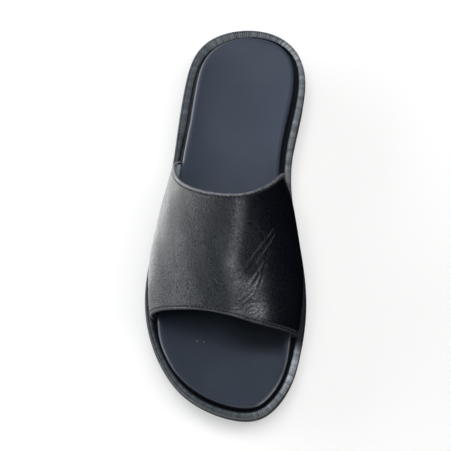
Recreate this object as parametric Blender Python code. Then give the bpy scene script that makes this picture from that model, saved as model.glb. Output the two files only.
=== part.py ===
"""Palm slipper for the right foot: a leather band over a cushioned footbed on a rubber sole.

The toe points along -Y, the big-toe side is +X, and the sole stands on the plane z = 0.
Sizes are in millimetres here and become metres when a mesh is made.
"""
import math

import bmesh
import bpy
import numpy as np

MM = 0.001


def table(columns, *rows):
    """Give a short table as named columns of numbers."""
    return dict(zip(columns.split(), np.array(rows, float).T))


# Sole: outline seen from above, from the back of the heel to the tip of the toe
SOLE_LENGTH = 288.0
HALF_LENGTH = SOLE_LENGTH / 2
OUTLINE = table(
    "from_heel lateral medial",
    (0.0, 0.8, 0.8),
    (9.0, -28.9, 28.3),
    (23.0, -39.9, 38.8),
    (51.0, -45.3, 42.4),
    (81.0, -46.8, 39.0),
    (111.0, -48.1, 37.4),
    (141.0, -51.6, 42.3),
    (176.0, -56.5, 50.8),
    (206.0, -57.3, 54.9),
    (236.0, -50.2, 53.6),
    (259.0, -37.6, 49.3),
    (276.0, -20.6, 40.6),
    (SOLE_LENGTH, 17.0, 17.0),
)

# Sole: height of the tread under it and of the seat on top of it
SOLE_PROFILE = table(
    "from_heel tread seat",
    (0.0, 2.5, 22.5),
    (15.0, 0.0, 22.4),
    (85.0, 0.0, 21.2),
    (101.0, 3.5, 20.0),
    (123.0, 3.5, 18.2),
    (151.0, 0.0, 16.2),
    (191.0, 0.0, 14.6),
    (229.0, 0.0, 14.8),
    (258.0, 2.8, 16.8),
    (SOLE_LENGTH, 9.0, 21.5),
)

# Sole: steps of its side; part 0 measures the rise from the tread and part 1 from the seat
SOLE_SIDE = table(
    "inset part rise",
    (3.2, 0.0, 0.0),
    (1.4, 0.0, 2.2),
    (0.9, 1.0, -5.0),
    (1.9, 1.0, -4.4),
    (1.9, 1.0, -3.4),
    (0.2, 1.0, -2.8),
    (0.0, 1.0, -0.6),
    (0.6, 1.0, 0.0),
)
SOLE_STATIONS = 40

# Tread: grooves across the heel and the forefoot, as the place of the first one and their count
GROOVE_PITCH = 11.0
GROOVE_ROWS = table("first count", (23.0, 2), (62.0, 2), (159.0, 7))
GROOVE_WIDTH = 2.4
GROOVE_FLANK = 0.7
GROOVE_DEPTH = 1.8

# Welt: ribbed strip along the edge of the seat
WELT_WIDTH = 5.0
WELT_HEIGHT = 4.6
WELT_EDGE = 0.6
WELT_FALL = 0.9
RIB_PITCH = 1.6
RIB_DEPTH = 0.45

# Footbed: cushion inside the welt; part 0 measures the rise from the seat and part 1 from its rim
FOOTBED_SIDE = table(
    "inset part rise",
    (1.2, 0.0, 0.3),
    (0.0, 0.0, 1.5),
    (0.0, 1.0, -3.0),
    (0.5, 1.0, -1.1),
    (1.6, 1.0, -0.2),
    (3.2, 1.0, 0.0),
)
FOOTBED_PLAN = table(
    "from_heel inset rim dish",
    (0.0, 8.0, 10.5, 0.0),
    (13.0, 8.0, 10.5, 0.0),
    (46.0, 8.0, 10.5, 4.0),
    (91.0, 8.0, 10.4, 3.2),
    (151.0, 8.0, 10.0, 2.0),
    (232.0, 8.0, 8.8, 1.6),
    (248.0, 7.1, 8.3, 1.0),
    (276.0, 7.0, 7.4, 0.0),
    (SOLE_LENGTH, 7.0, 7.0, 0.0),
)
FOOTBED_STATIONS = 44
FOOTBED_COLUMNS = 10
DISH_POWER = 3.0

# Upper: sections of the band over the last; the swell is how far it stands out over its foot line
UPPER_WALL = 2.2
BAND_SECTIONS = table(
    "from_heel crown_side crown_height lateral_swell medial_swell swell_height lateral_full medial_full",
    (101.0, 3.8, 95.0, 0.8, 0.0, 31.0, 0.22, 0.34),
    (113.0, 4.3, 93.5, 2.2, 0.6, 32.0, 0.23, 0.36),
    (131.0, 5.0, 90.0, 2.9, 4.1, 34.0, 0.26, 0.42),
    (151.0, 5.8, 85.0, 2.5, 4.8, 36.0, 0.33, 0.47),
    (181.0, 7.3, 75.5, 1.5, 4.0, 36.0, 0.43, 0.53),
    (206.0, 8.8, 67.0, 0.7, 2.8, 34.0, 0.50, 0.57),
    (236.0, 10.3, 58.0, 0.8, 2.0, 31.0, 0.54, 0.58),
)
CROWN_FULL = 0.55

# Upper: its throat and front edges across the band, from the lateral foot (-1) to the medial foot (1)
BAND_EDGES = table(
    "across throat front",
    (-1.0, 107.0, 223.5),
    (-0.72, 111.0, 224.6),
    (-0.58, 119.0, 224.4),
    (-0.44, 132.5, 224.2),
    (-0.29, 144.0, 224.6),
    (-0.14, 150.6, 225.4),
    (0.0, 152.0, 228.0),
    (0.13, 148.8, 230.4),
    (0.33, 137.0, 231.8),
    (0.56, 121.0, 231.5),
    (0.72, 115.0, 230.6),
    (1.0, 111.5, 229.0),
)
SHOULDER = 0.72
WALL_STEPS = 4
ARCH_STEPS = 14
LENGTH_STEPS = 12

# Clearances between the pieces
SEAT_GAP = 0.3
CHANNEL_GAP = 0.4
CHANNEL_LIP = 1.0

FULL_TURN = 2 * math.pi
OUTLINE_SAMPLES = 1441
FOOT_LINE_SAMPLES = 721
RIB_SAMPLES = 7201
SLOPE_STEP = 1e-4
SHARP_ANGLE = math.radians(35)

# Plain finish of each piece, as colour and roughness
FINISHES = {
    "sole_rubber": ((0.016, 0.017, 0.020), 0.55),
    "welt_rubber": ((0.020, 0.021, 0.024), 0.45),
    "footbed_leather": ((0.020, 0.023, 0.030), 0.42),
    "upper_leather": ((0.018, 0.018, 0.020), 0.38),
}


def natural_line(at, value):
    """Give a smooth curve through points, with no bend at its two ends."""
    count = len(at)
    step = np.diff(at)
    system = np.eye(count)
    right = np.zeros(count)
    for k in range(1, count - 1):
        system[k, k - 1:k + 2] = step[k - 1], 2 * (step[k - 1] + step[k]), step[k]
        right[k] = 6 * ((value[k + 1] - value[k]) / step[k] - (value[k] - value[k - 1]) / step[k - 1])
    bend = np.linalg.solve(system, right)

    def line(query):
        query = np.asarray(query, float)
        k = np.clip(np.searchsorted(at, query, side="right") - 1, 0, count - 2)
        low = (at[k + 1] - query) / step[k]
        high = 1 - low
        curve = (low**3 - low) * bend[k] + (high**3 - high) * bend[k + 1]
        return low * value[k] + high * value[k + 1] + curve * step[k]**2 / 6

    return line


def level_line(at, value):
    """Give a smooth curve through points that never overshoots, so that level stretches stay level."""
    step = np.diff(at)
    rise = np.diff(value) / step
    slope = np.zeros(len(at))
    slope[0] = rise[0]
    slope[-1] = rise[-1]
    for k in range(1, len(at) - 1):
        if rise[k - 1] * rise[k] > 0:
            slope[k] = 2 * rise[k - 1] * rise[k] / (rise[k - 1] + rise[k])

    def line(query):
        query = np.asarray(query, float)
        k = np.clip(np.searchsorted(at, query, side="right") - 1, 0, len(at) - 2)
        t = (query - at[k]) / step[k]
        start = (1 + 2 * t) * (1 - t)**2 * value[k] + t * (1 - t)**2 * step[k] * slope[k]
        end = t * t * (3 - 2 * t) * value[k + 1] + t * t * (t - 1) * step[k] * slope[k + 1]
        return start + end

    return line


def side_angle(from_heel):
    """Turn a distance from the heel into an angle round the sole: 0 at the heel, pi at the toe."""
    return np.arccos(1 - 2 * np.asarray(from_heel, float) / SOLE_LENGTH)


def outline_line():
    """Give the sole's side position round the whole outline, medial side first, and centre it on x = 0."""
    angle = side_angle(OUTLINE["from_heel"])
    way_back = slice(-2, 0, -1)
    angles = np.concatenate([angle, FULL_TURN - angle[way_back]])
    sides = np.concatenate([OUTLINE["medial"], OUTLINE["lateral"][way_back]])
    three_turns = np.concatenate([angles - FULL_TURN, angles, angles + FULL_TURN])
    line = natural_line(three_turns, np.tile(sides, 3))
    round_sole = line(np.linspace(0, FULL_TURN, OUTLINE_SAMPLES))
    centre = (round_sole.min() + round_sole.max()) / 2
    return lambda query: line(query) - centre


side_line = outline_line()
tread_line = level_line(SOLE_PROFILE["from_heel"], SOLE_PROFILE["tread"])
seat_line = level_line(SOLE_PROFILE["from_heel"], SOLE_PROFILE["seat"])


def outline(angle, inset):
    """Give points of the outline at the angles, moved inwards square to it."""
    along_x = (side_line(angle + SLOPE_STEP) - side_line(angle - SLOPE_STEP)) / (2 * SLOPE_STEP)
    along_y = -HALF_LENGTH * np.sin(angle)
    size = np.hypot(along_x, along_y)
    x = side_line(angle) + inset * along_y / size
    y = HALF_LENGTH * np.cos(angle) - inset * along_x / size
    return x, y


def round_angles(stations):
    """Give angles for one closed loop: heel, medial stations, toe, then the lateral stations back."""
    medial = side_angle(stations)
    return np.concatenate([medial, FULL_TURN - medial[-2:0:-1]])


def even_stations(count):
    """Give distances from heel to toe, closer together at the round ends."""
    return SOLE_LENGTH * (1 - np.cos(np.linspace(0, math.pi, count + 1))) / 2


def add_loop(mesh, x, y, z):
    """Add one loop of points to a mesh."""
    return [mesh.verts.new((px * MM, py * MM, pz * MM)) for px, py, pz in zip(x, y, z)]


def join_loops(mesh, lower, upper):
    """Skin two loops that have the same number of points."""
    count = len(lower)
    for k in range(count):
        following = (k + 1) % count
        mesh.faces.new((lower[k], lower[following], upper[following], upper[k]))


def close_across(mesh, loop):
    """Close a loop with strips that run from its medial to its lateral points."""
    half = len(loop) // 2
    mesh.faces.new((loop[0], loop[1], loop[-1]))
    for k in range(1, half - 1):
        mesh.faces.new((loop[k], loop[k + 1], loop[-k - 1], loop[-k]))
    mesh.faces.new((loop[half - 1], loop[half], loop[half + 1]))


def finish_material(name):
    """Make the plain material of one piece."""
    colour, roughness = FINISHES[name]
    material = bpy.data.materials.new(name)
    material.use_nodes = True
    shader = material.node_tree.nodes["Principled BSDF"]
    shader.inputs["Base Color"].default_value = (*colour, 1.0)
    shader.inputs["Roughness"].default_value = roughness
    shader.inputs["Metallic"].default_value = 0.0
    return material


def add_piece(name, mesh, material, parent):
    """Turn a mesh into a named piece with outward faces, under its parent."""
    bmesh.ops.recalc_face_normals(mesh, faces=mesh.faces)
    data = bpy.data.meshes.new(name)
    mesh.to_mesh(data)
    mesh.free()
    data.shade_smooth()
    data.set_sharp_from_angle(angle=SHARP_ANGLE)
    data.materials.append(material)
    piece = bpy.data.objects.new(name, data)
    bpy.context.scene.collection.objects.link(piece)
    piece.parent = parent
    return piece


def groove_places():
    """Give the middle of each tread groove."""
    rows = zip(GROOVE_ROWS["first"], GROOVE_ROWS["count"])
    return [first + k * GROOVE_PITCH for first, count in rows for k in range(int(count))]


def sole_stations():
    """Give the sole's stations and the groove depth at each, with four stations to a groove."""
    depth_at = {}
    half = GROOVE_WIDTH / 2
    for place in groove_places():
        for edge, depth in ((half + GROOVE_FLANK, 0.0), (half, GROOVE_DEPTH)):
            depth_at[place - edge] = depth
            depth_at[place + edge] = depth
    clear = GROOVE_WIDTH + GROOVE_FLANK
    for station in even_stations(SOLE_STATIONS):
        if all(abs(station - place) > clear for place in groove_places()):
            depth_at[float(station)] = 0.0
    stations = np.array(sorted(depth_at))
    return stations, np.array([depth_at[station] for station in stations])


def make_outsole(parent):
    """Rubber sole: grooved tread, arch, toe spring, stepped side and a flat seat on top."""
    mesh = bmesh.new()
    stations, depth = sole_stations()
    angle = round_angles(stations)
    groove = np.concatenate([depth, depth[-2:0:-1]])
    loops = []
    for inset, part, rise in zip(*(SOLE_SIDE[name] for name in ("inset", "part", "rise"))):
        x, y = outline(angle, inset)
        from_heel = HALF_LENGTH - y
        z = np.where(part > 0, seat_line(from_heel), tread_line(from_heel)) + rise
        if not loops:
            z = z + groove
        loops.append(add_loop(mesh, x, y, z))
    for lower, upper in zip(loops, loops[1:]):
        join_loops(mesh, lower, upper)
    close_across(mesh, loops[0])
    close_across(mesh, loops[-1])
    return add_piece("outsole", mesh, finish_material("sole_rubber"), parent)


def rib_angles():
    """Give angles at equal steps along the outline, two to a rib."""
    fine = np.linspace(0, FULL_TURN, RIB_SAMPLES)
    x, y = outline(fine, WELT_WIDTH / 2)
    length = np.concatenate([[0.0], np.cumsum(np.hypot(np.diff(x), np.diff(y)))])
    columns = 2 * round(length[-1] / RIB_PITCH)
    return np.interp(np.arange(columns) * length[-1] / columns, length, fine)


def make_welt(parent):
    """Rubber strip round the seat, ribbed across its top and down its outer edge."""
    mesh = bmesh.new()
    angle = rib_angles()
    notch = RIB_DEPTH * (np.arange(len(angle)) % 2)
    flat = np.zeros(len(angle))
    outer_top = WELT_HEIGHT - WELT_FALL
    corners = (
        (WELT_WIDTH + flat, SEAT_GAP + flat),
        (WELT_EDGE + flat, SEAT_GAP + flat),
        (WELT_EDGE + notch, outer_top - notch),
        (WELT_WIDTH + flat, WELT_HEIGHT - notch),
    )
    loops = []
    for inset, rise in corners:
        x, y = outline(angle, inset)
        loops.append(add_loop(mesh, x, y, seat_line(HALF_LENGTH - y) + rise))
    for lower, upper in zip(loops, loops[1:] + loops[:1]):
        join_loops(mesh, lower, upper)
    return add_piece("welt", mesh, finish_material("welt_rubber"), parent)


def dish_points(loop_x, loop_y, loop_z, depth_line):
    """Give rows of points across the cushion between the medial and lateral points of its rim."""
    half = len(loop_x) // 2
    share = np.linspace(0, 1, FOOTBED_COLUMNS + 1)[1:-1]
    hollow = 1 - np.abs(2 * share - 1)**DISH_POWER
    rows = []
    for k in range(1, half):
        x = loop_x[k] + (loop_x[-k] - loop_x[k]) * share
        y = loop_y[k] + (loop_y[-k] - loop_y[k]) * share
        z = loop_z[k] + (loop_z[-k] - loop_z[k]) * share
        rows.append((x, y, z - depth_line(HALF_LENGTH - y) * hollow))
    return rows


def make_footbed(parent):
    """Leather-covered cushion with a rolled rim and a shallow dish for heel and ball."""
    mesh = bmesh.new()
    angle = round_angles(even_stations(FOOTBED_STATIONS))
    depth_line = level_line(FOOTBED_PLAN["from_heel"], FOOTBED_PLAN["dish"])
    inset_line = level_line(FOOTBED_PLAN["from_heel"], FOOTBED_PLAN["inset"])
    rim_line = level_line(FOOTBED_PLAN["from_heel"], FOOTBED_PLAN["rim"])
    own_inset = inset_line(HALF_LENGTH * (1 - np.cos(angle)))
    loops = []
    for inset, part, rise in zip(*(FOOTBED_SIDE[name] for name in ("inset", "part", "rise"))):
        x, y = outline(angle, own_inset + inset)
        from_heel = HALF_LENGTH - y
        z = seat_line(from_heel) + part * rim_line(from_heel) + rise
        loops.append(add_loop(mesh, x, y, z))
    for lower, upper in zip(loops, loops[1:]):
        join_loops(mesh, lower, upper)
    close_across(mesh, loops[0])
    rim = loops[-1]
    half = len(rim) // 2
    rows = []
    for k, points in enumerate(dish_points(x, y, z, depth_line), start=1):
        rows.append([rim[k]] + add_loop(mesh, *points) + [rim[-k]])
    for near, far in zip(rows, rows[1:]):
        for k in range(FOOTBED_COLUMNS):
            mesh.faces.new((near[k], near[k + 1], far[k + 1], far[k]))
    for tip, row in ((rim[0], rows[0]), (rim[half], rows[-1])):
        for k in range(FOOTBED_COLUMNS):
            mesh.faces.new((tip, row[k], row[k + 1]))
    return add_piece("footbed", mesh, finish_material("footbed_leather"), parent)


def foot_lines():
    """Give the lateral and the medial line in the channel that the band's outer face stands on."""
    half_turn = np.linspace(0, math.pi, FOOT_LINE_SAMPLES)
    lines = []
    for angle in (FULL_TURN - half_turn, half_turn):
        x, y = outline(angle, WELT_WIDTH + CHANNEL_GAP)
        lines.append((HALF_LENGTH - y, x))
    return lines


def band_form():
    """Give a function for points of the band's outer face over the last."""
    names = [name for name in BAND_SECTIONS if name != "from_heel"]
    section = {name: natural_line(BAND_SECTIONS["from_heel"], BAND_SECTIONS[name]) for name in names}
    feet = dict(zip(("lateral", "medial"), foot_lines()))

    def point(across, from_heel):
        side = "medial" if across > 0 else "lateral"
        outward = 1.0 if across > 0 else -1.0
        share = abs(across)
        seat = float(seat_line(from_heel))
        swell_height = float(section["swell_height"](from_heel))
        foot = float(np.interp(from_heel, *feet[side]))
        swell = foot + outward * float(section[side + "_swell"](from_heel))
        if share > SHOULDER:
            low = seat + SEAT_GAP
            lip = seat + WELT_HEIGHT + CHANNEL_LIP
            z = low + (swell_height - low) * (1 - share) / (1 - SHOULDER)
            t = min(max((z - lip) / (swell_height - lip), 0.0), 1.0)
            x = foot + (swell - foot) * t * t * (3 - 2 * t)
        else:
            t = 1 - share / SHOULDER
            full = float(section[side + "_full"](from_heel))
            crown_x = float(section["crown_side"](from_heel))
            crown_z = float(section["crown_height"](from_heel))
            weights = ((1 - t)**3, 3 * t * (1 - t)**2, 3 * t * t * (1 - t), t**3)
            sides = (swell, swell, crown_x + (swell - crown_x) * CROWN_FULL, crown_x)
            raised = swell_height + (crown_z - swell_height) * full
            heights = (swell_height, raised, crown_z, crown_z)
            x = sum(weight * value for weight, value in zip(weights, sides))
            z = sum(weight * value for weight, value in zip(weights, heights))
        return x, HALF_LENGTH - from_heel, z

    return point


def across_steps():
    """Give the places of the band's lengthwise rows, from the lateral foot to the medial foot."""
    wall = np.linspace(1, SHOULDER, WALL_STEPS + 1)
    arch = np.linspace(SHOULDER, 0, ARCH_STEPS + 1)[1:]
    half = np.concatenate([wall, arch])
    return np.concatenate([-half, half[-2::-1]])


def make_upper(parent):
    """Leather band: one wall over the instep, open at throat, toe and underneath."""
    mesh = bmesh.new()
    point = band_form()
    throat_line = natural_line(BAND_EDGES["across"], BAND_EDGES["throat"])
    front_line = natural_line(BAND_EDGES["across"], BAND_EDGES["front"])
    rows = []
    for across in across_steps():
        stations = np.linspace(float(throat_line(across)), float(front_line(across)), LENGTH_STEPS + 1)
        points = np.array([point(across, from_heel) for from_heel in stations])
        rows.append(add_loop(mesh, *points.T))
    for near, far in zip(rows, rows[1:]):
        for k in range(LENGTH_STEPS):
            mesh.faces.new((near[k], near[k + 1], far[k + 1], far[k]))
    upper = add_piece("upper", mesh, finish_material("upper_leather"), parent)
    wall = upper.modifiers.new("wall", "SOLIDIFY")
    wall.thickness = UPPER_WALL * MM
    wall.offset = -1.0
    wall.use_even_offset = True
    wall.use_rim = True
    return upper


def main():
    for leftover in list(bpy.data.objects):
        bpy.data.objects.remove(leftover, do_unlink=True)
    slipper = bpy.data.objects.new("palm_slipper", None)
    bpy.context.scene.collection.objects.link(slipper)
    for make in (make_outsole, make_welt, make_footbed, make_upper):
        make(slipper)


main()
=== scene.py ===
# %% [markdown]
# A palm slipper is a backless slide: one wide leather band over the instep, a cushioned footbed, a ribbed
# welt and a rubber sole. The four solids of this one are already built, so they come in first, as a fixed
# frame. Every piece below is made in the same place and at the same size, with a finer surface.

# %% Load the frame
import math

import bmesh
import bpy
import numpy as np
from mathutils import Matrix, Vector


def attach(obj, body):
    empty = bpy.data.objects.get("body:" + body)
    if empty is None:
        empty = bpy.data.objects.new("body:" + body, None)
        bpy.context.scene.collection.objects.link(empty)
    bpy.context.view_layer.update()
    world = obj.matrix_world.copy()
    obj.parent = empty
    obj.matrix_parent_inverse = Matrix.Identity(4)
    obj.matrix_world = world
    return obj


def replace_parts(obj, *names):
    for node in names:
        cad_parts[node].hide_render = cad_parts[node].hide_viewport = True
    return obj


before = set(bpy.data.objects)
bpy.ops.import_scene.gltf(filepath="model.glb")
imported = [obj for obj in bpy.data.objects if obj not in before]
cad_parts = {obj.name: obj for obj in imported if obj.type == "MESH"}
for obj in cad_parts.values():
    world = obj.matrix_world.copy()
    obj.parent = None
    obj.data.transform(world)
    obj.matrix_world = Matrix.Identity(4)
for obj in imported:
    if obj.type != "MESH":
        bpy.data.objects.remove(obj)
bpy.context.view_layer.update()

MM = 0.001
print("solids in the frame:", ", ".join(sorted(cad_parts)))

# %% [markdown]
# A shoemaker starts from the last, and writes it down as a few measures at stations along the foot. The
# same is done here: short tables in millimetres, measured from the back of the heel. A smooth curve through
# each column gives every size in between, which keeps the whole slipper in a few dozen numbers. Two kinds
# of curve are needed: a natural one for round outlines, and a level one that never overshoots, for floors
# and edges.

# %% Smooth lines through a table
def table(columns, *rows):
    return dict(zip(columns.split(), np.array(rows, float).T))


def natural_line(at, value):
    count = len(at)
    step = np.diff(at)
    system = np.eye(count)
    right = np.zeros(count)
    for k in range(1, count - 1):
        system[k, k - 1:k + 2] = step[k - 1], 2 * (step[k - 1] + step[k]), step[k]
        right[k] = 6 * ((value[k + 1] - value[k]) / step[k] - (value[k] - value[k - 1]) / step[k - 1])
    bend = np.linalg.solve(system, right)

    def line(query):
        k = np.clip(np.searchsorted(at, query, side="right") - 1, 0, count - 2)
        low = (at[k + 1] - query) / step[k]
        high = 1 - low
        curve = (low**3 - low) * bend[k] + (high**3 - high) * bend[k + 1]
        return low * value[k] + high * value[k + 1] + curve * step[k]**2 / 6

    return line


def level_line(at, value):
    step = np.diff(at)
    rise = np.diff(value) / step
    slope = np.zeros(len(at))
    slope[0] = rise[0]
    slope[-1] = rise[-1]
    for k in range(1, len(at) - 1):
        if rise[k - 1] * rise[k] > 0:
            slope[k] = 2 * rise[k - 1] * rise[k] / (rise[k - 1] + rise[k])

    def line(query):
        k = np.clip(np.searchsorted(at, query, side="right") - 1, 0, len(at) - 2)
        t = (query - at[k]) / step[k]
        start = (1 + 2 * t) * (1 - t)**2 * value[k] + t * (1 - t)**2 * step[k] * slope[k]
        end = t * t * (3 - 2 * t) * value[k + 1] + t * t * (t - 1) * step[k] * slope[k + 1]
        return start + end

    return line


def smooth_step(value, low, high):
    """0 up to a low value, 1 from a high value on, and a soft rise between them."""
    t = np.clip((value - low) / (high - low), 0, 1)
    return t * t * (3 - 2 * t)


def column_line(kind, measures, column, along="from_heel"):
    """A line of one kind through a column of a table."""
    return kind(measures[along], measures[column])


hill = natural_line(np.array([0.0, 1.0, 2.0]), np.array([0.0, 1.0, 0.0]))
print(f"a natural line through 0, 1 and 0 is {hill(0.5):.2f} high half way up")

# %% [markdown]
# The outline of the sole is what the eye checks first. A designer draws it as two sides, and so does this
# table. Turned into an angle round the sole, both sides become one closed curve, which stays smooth at heel
# and toe. A bezier curve could be bent to the same line by hand, but points of this one can be moved
# inwards by any distance, and that is how welt, channel and footbed follow the edge of the sole.

# %% Outline and heights of the sole
SOLE_LENGTH = 288.0
HALF_LENGTH = SOLE_LENGTH / 2
FULL_TURN = 2 * math.pi
OUTLINE = table(
    "from_heel lateral medial",
    (0.0, 0.8, 0.8),
    (9.0, -28.9, 28.3),
    (23.0, -39.9, 38.8),
    (51.0, -45.3, 42.4),
    (81.0, -46.8, 39.0),
    (111.0, -48.1, 37.4),
    (141.0, -51.6, 42.3),
    (176.0, -56.5, 50.8),
    (206.0, -57.3, 54.9),
    (236.0, -50.2, 53.6),
    (259.0, -37.6, 49.3),
    (276.0, -20.6, 40.6),
    (SOLE_LENGTH, 17.0, 17.0),
)
SOLE_PROFILE = table(
    "from_heel tread seat",
    (0.0, 2.5, 22.5),
    (15.0, 0.0, 22.4),
    (85.0, 0.0, 21.2),
    (101.0, 3.5, 20.0),
    (123.0, 3.5, 18.2),
    (151.0, 0.0, 16.2),
    (191.0, 0.0, 14.6),
    (229.0, 0.0, 14.8),
    (258.0, 2.8, 16.8),
    (SOLE_LENGTH, 9.0, 21.5),
)
OUTLINE_SAMPLES = 1441
SMALL_ANGLE = 1e-4
tread_line = column_line(level_line, SOLE_PROFILE, "tread")
seat_line = column_line(level_line, SOLE_PROFILE, "seat")


def outline_line():
    angle = np.arccos(1 - 2 * OUTLINE["from_heel"] / SOLE_LENGTH)
    way_back = slice(-2, 0, -1)
    angles = np.concatenate([angle, FULL_TURN - angle[way_back]])
    sides = np.concatenate([OUTLINE["medial"], OUTLINE["lateral"][way_back]])
    three_turns = np.concatenate([angles - FULL_TURN, angles, angles + FULL_TURN])
    line = natural_line(three_turns, np.tile(sides, 3))
    round_sole = line(np.linspace(0, FULL_TURN, OUTLINE_SAMPLES))
    centre = (round_sole.min() + round_sole.max()) / 2
    return lambda query: line(query) - centre


side_line = outline_line()


def outline(angle, inset):
    """Points of the outline, moved inwards square to it: angle 0 is the heel and half a turn is the toe."""
    along_x = (side_line(angle + SMALL_ANGLE) - side_line(angle - SMALL_ANGLE)) / (2 * SMALL_ANGLE)
    along_y = -HALF_LENGTH * np.sin(angle)
    size = np.hypot(along_x, along_y)
    return side_line(angle) + inset * along_y / size, HALF_LENGTH * np.cos(angle) - inset * along_x / size


ball = side_line(np.linspace(0, FULL_TURN, OUTLINE_SAMPLES))
print(f"outline: {SOLE_LENGTH:.0f} mm long and {np.ptp(ball):.1f} mm across the ball")

# %% [markdown]
# The camera looks down on the slipper from beyond the toe, a little from the big-toe side. Its place was
# found by fitting the outline to the picture. A camera can be turned with a Track To constraint, but that
# would make the picture upright, and here it leans a little. So the three axes of the camera are worked out
# one by one: the view direction, the picture's own up direction, and the one square to both.

# %% Camera
CAMERA_PLACE = Vector((76.3, -305.5, 855.7)) * MM
CAMERA_AIM = Vector((-4.8, -5.7, 15.0)) * MM
PICTURE_UP = Vector((-0.0655, 0.9374, 0.3420))
LENS = 101.7
SENSOR_WIDTH = 36.0
NEAREST_SEEN = 0.01


def put_in_scene(name, data):
    thing = bpy.data.objects.new(name, data)
    bpy.context.scene.collection.objects.link(thing)
    return thing


def add_camera():
    data = bpy.data.cameras.new("camera")
    data.sensor_width = SENSOR_WIDTH
    data.lens = LENS
    data.clip_start = NEAREST_SEEN
    camera = put_in_scene("camera", data)
    forward = (CAMERA_AIM - CAMERA_PLACE).normalized()
    right = forward.cross(PICTURE_UP).normalized()
    turn = Matrix((right, right.cross(forward), -forward)).transposed()
    camera.matrix_world = Matrix.Translation(CAMERA_PLACE) @ turn.to_4x4()
    bpy.context.scene.camera = camera


add_camera()
print(f"camera: {(CAMERA_AIM - CAMERA_PLACE).length:.3f} m from the slipper")

# %% [markdown]
# Nearly every surface here is a grid: rows along the shoe, columns round it. Blender could make such grids
# with lofted curves, but a plain mesh from arrays is faster and every point is known. One helper lists the
# faces of a grid, another turns points and faces into a piece that rides on the frame, with its faces
# turned outwards.

# %% Grids and pieces
def grid_faces(rows, columns, wrap=False, first=0):
    across = np.arange(columns if wrap else columns - 1)
    row, column = np.meshgrid(np.arange(rows - 1), across, indexing="ij")
    beside = (column + 1) % columns
    corners = (row * columns + column, row * columns + beside,
               (row + 1) * columns + beside, (row + 1) * columns + column)
    return (first + np.stack(corners, -1).reshape(-1, 4)).tolist()


def add_piece(name, points, faces, material, sharp_degrees):
    data = bpy.data.meshes.new(name)
    data.from_pydata((np.asarray(points).reshape(-1, 3) * MM).tolist(), [], faces)
    shell = bmesh.new()
    shell.from_mesh(data)
    bmesh.ops.recalc_face_normals(shell, faces=shell.faces)
    shell.to_mesh(data)
    shell.free()
    data.shade_smooth()
    data.set_sharp_from_angle(angle=math.radians(sharp_degrees))
    data.materials.append(material)
    piece = put_in_scene(name, data)
    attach(piece, "root")
    print(f"{name}: {sum(len(face.vertices) - 2 for face in data.polygons)} triangles")
    return piece


def add_values(piece, name, values):
    """Keep one number at each point of a piece, for its material to read."""
    attribute = piece.data.attributes.new(name, "FLOAT", "POINT")
    attribute.data.foreach_set("value", np.asarray(values, np.float32).ravel())


print("faces in a grid of 3 by 4 points:", len(grid_faces(3, 4)))

# %% [markdown]
# Sole and footbed go round the same outline. Their columns stand at stations along the foot, which lie
# closer together at heel and toe, where the outline turns fastest. A Bevel modifier would round the corners
# of their sides, but it also cuts up the ends of ribs and grooves. So each corner of a side becomes three
# points of a small arc before the side is swept round.

# %% Rings round the sole
NOMINAL_SEAT = 17.0
LONGEST_CUT = 0.45


def even_stations(count):
    return SOLE_LENGTH * (1 - np.cos(np.linspace(0, math.pi, count + 1))) / 2


def round_angles(stations):
    medial = np.arccos(1 - 2 * stations / SOLE_LENGTH)
    return np.concatenate([medial, FULL_TURN - medial[-2:0:-1]])


def strips_across(loop):
    """Faces that close a loop from its medial to its lateral points."""
    half = len(loop) // 2
    middle = [(loop[k], loop[k + 1], loop[-k - 1], loop[-k]) for k in range(1, half - 1)]
    ends = [(loop[0], loop[1], loop[-1]), (loop[half - 1], loop[half], loop[half + 1])]
    return middle + ends


def round_corners(rows, cut):
    """Replace each corner of a side (inset, part, rise) by a small arc of three points."""
    flat = np.stack([rows[:, 0], rows[:, 1] * NOMINAL_SEAT + rows[:, 2]], -1)
    rounded = [rows[0]]
    for k in range(1, len(rows) - 1):
        back = min(cut / np.linalg.norm(flat[k - 1] - flat[k]), LONGEST_CUT)
        onward = min(cut / np.linalg.norm(flat[k + 1] - flat[k]), LONGEST_CUT)
        start = rows[k] + (rows[k - 1] - rows[k]) * back
        end = rows[k] + (rows[k + 1] - rows[k]) * onward
        rounded += [start, (start + 2 * rows[k] + end) / 4, end]
    return np.array(rounded + [rows[-1]])


print("columns round the sole for 12 stations along it:", len(round_angles(even_stations(12))))

# %% [markdown]
# Materials are built from nodes, all in the slipper's own coordinates, so that a millimetre of grain stays
# a millimetre on every piece. Small helpers keep the node trees readable: one starts a material, one adds a
# node with its values, and others add a cloud of noise, a mix of two colours or a bump. Black goods look
# alive through their gloss, not through their colour, so most of the work below goes into roughness and
# bump.

# %% Node helpers
# Numbers of the colour sockets on a Mix node
MIX_COLOURS = (6, 7)
MIXED_COLOUR = 2


def start_material(name, **values):
    material = bpy.data.materials.new(name)
    material.use_nodes = True
    tree = material.node_tree
    shader = tree.nodes["Principled BSDF"]
    for key, value in values.items():
        shader.inputs[key.replace("_", " ")].default_value = value
    place = tree.nodes.new("ShaderNodeTexCoord").outputs["Object"]
    return material, tree, shader, place


def feed(tree, socket, value):
    """Link a value to a socket if it comes from a node, or set it there if it is a number or a colour."""
    if isinstance(value, bpy.types.NodeSocket):
        tree.links.new(value, socket)
    elif socket.type == "RGBA":
        socket.default_value = (*value, 1.0)
    else:
        socket.default_value = value


def add_node(tree, kind, settings=None, **inputs):
    node = tree.nodes.new(kind)
    for key, value in (settings or {}).items():
        setattr(node, key, value)
    for key, value in inputs.items():
        feed(tree, node.inputs[key.replace("_", " ")], value)
    return node


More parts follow.
